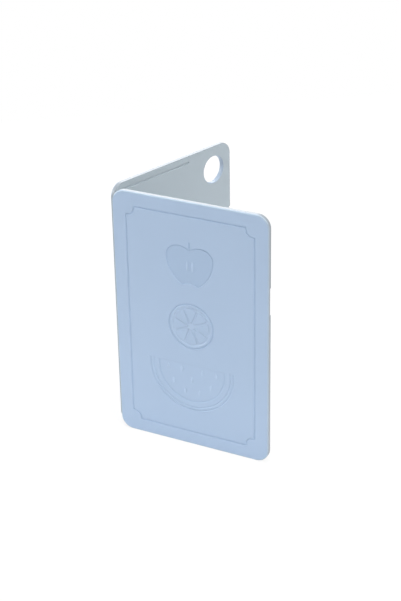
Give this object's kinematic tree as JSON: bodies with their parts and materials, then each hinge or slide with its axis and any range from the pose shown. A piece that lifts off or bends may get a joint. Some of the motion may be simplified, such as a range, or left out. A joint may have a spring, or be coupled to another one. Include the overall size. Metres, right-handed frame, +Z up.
{
  "type": "folding cutting board",
  "caption": "Thin plastic cutting board that folds like a book on a film hinge, with a finger hole, finger scoops, juice grooves and sunk fruit figures inside a line frame.",
  "frame": {"origin": "on the surface that the board stands on, under the middle of the half-open board's box", "axes": "+Z up along the hinge, +X from the hinge to the opening midway between the leaves, front leaf towards -Y, rear leaf towards +Y"},
  "size_m": [0.1122, 0.1736, 0.22],
  "materials": {
    "board_plastic": "satin moulded polypropylene, pale grey-blue",
    "film_plastic": "thin flexed polypropylene, pale grey-blue"
  },
  "bodies": {
    "front": {"front_leaf": "board_plastic", "hinge_film": "film_plastic"},
    "rear": {"rear_leaf": "board_plastic"}
  },
  "joints": [
    {"name": "fold", "type": "hinge", "parent": "front", "child": "rear", "pos_m": [-0.05446, 0, 0.11], "axis": [0, 0, 1], "range_deg": [-74, 106], "deforming": ["hinge_film"]}
  ]
}
